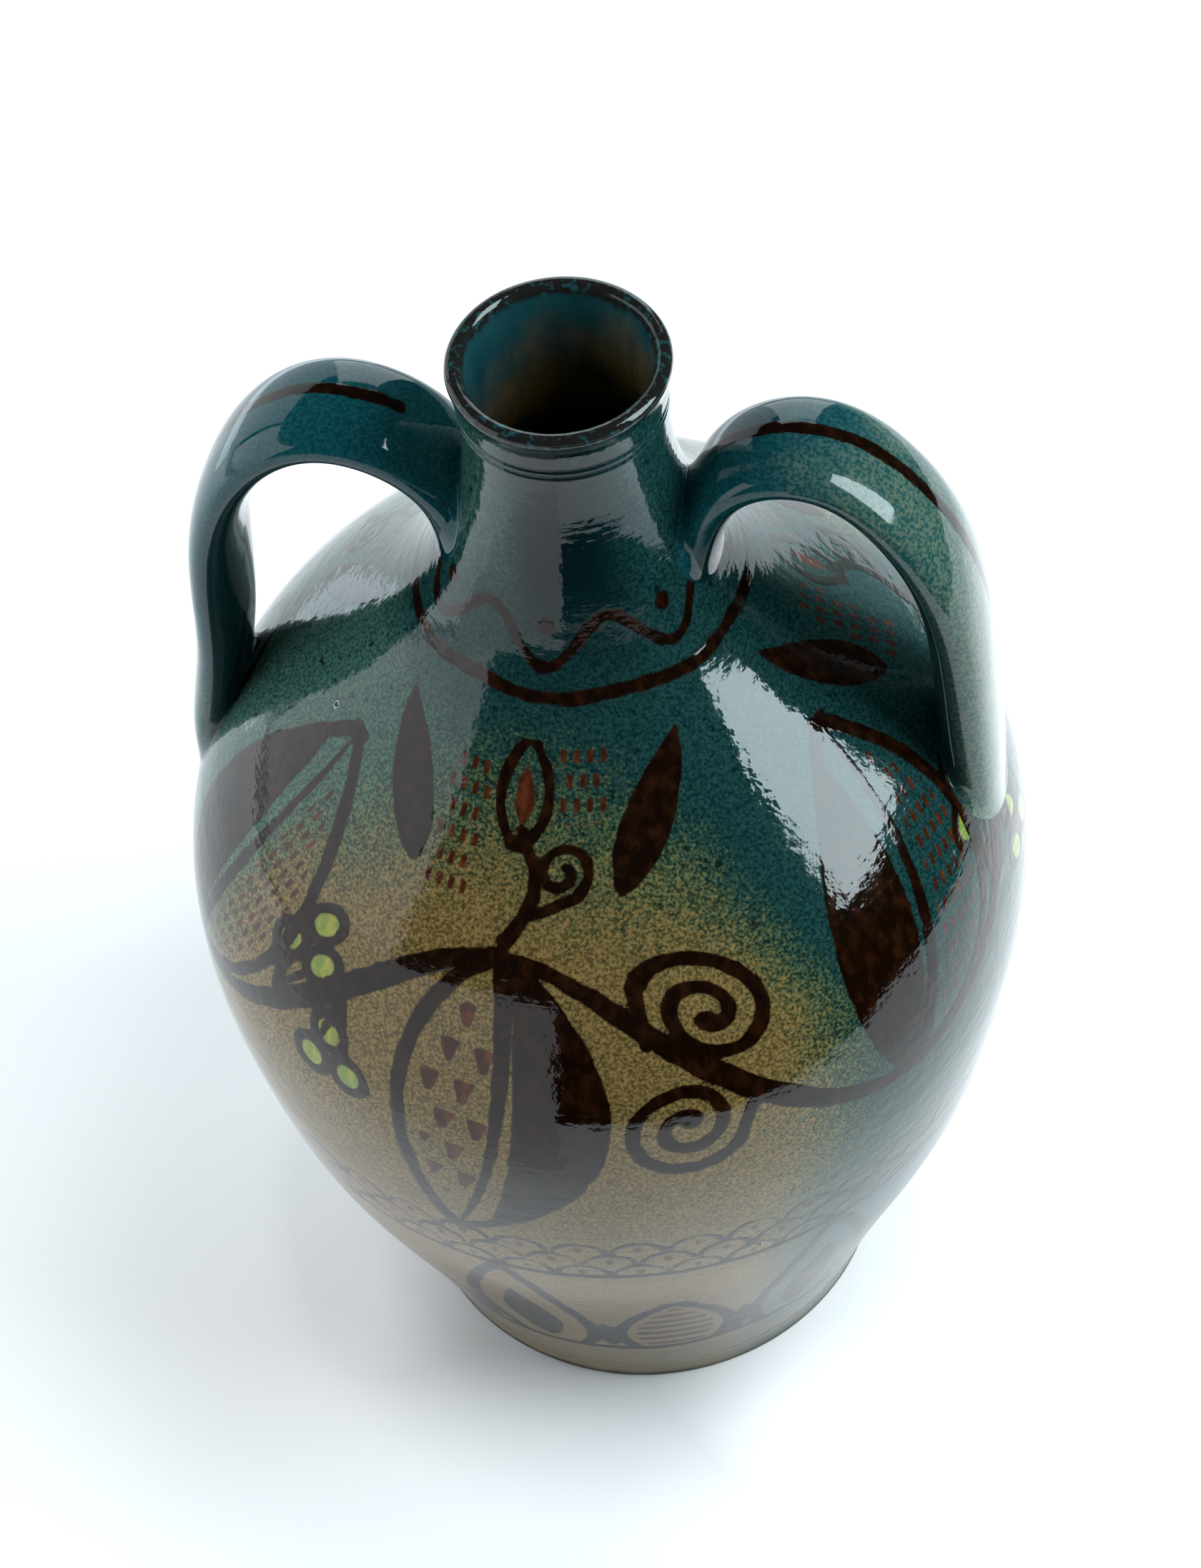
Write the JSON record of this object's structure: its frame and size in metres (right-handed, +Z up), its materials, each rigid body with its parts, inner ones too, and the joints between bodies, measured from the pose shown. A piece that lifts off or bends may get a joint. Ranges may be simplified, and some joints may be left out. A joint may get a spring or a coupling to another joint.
{
  "type": "vase",
  "caption": "Glazed terracotta bottle vase with a wide belly, a narrow rolled-lip neck and arched strap handles from neck to shoulder.",
  "frame": {"origin": "on the table, under the middle of the foot ring", "axes": "+Z up along the turned axis; the two handles stand along +X and -X, both turned 2.3 degrees towards +Y"},
  "size_m": [0.2074, 0.2074, 0.34],
  "materials": {
    "foot_ring": "thin clear glaze over terracotta, bare along the bottom edge",
    "lower_body": "gloss glaze, sprayed ochre speckled with teal",
    "shoulder": "gloss glaze, sprayed teal fading to ochre",
    "neck": "gloss glaze, deep teal with a dark brown lip",
    "handles": "gloss glaze, deep teal with a brown stripe"
  },
  "bodies": {
    "root": {"foot_ring": "foot_ring", "lower_body": "lower_body", "shoulder": "shoulder", "neck": "neck", "handle_right": "handles", "handle_left": "handles"}
  },
  "joints": []
}
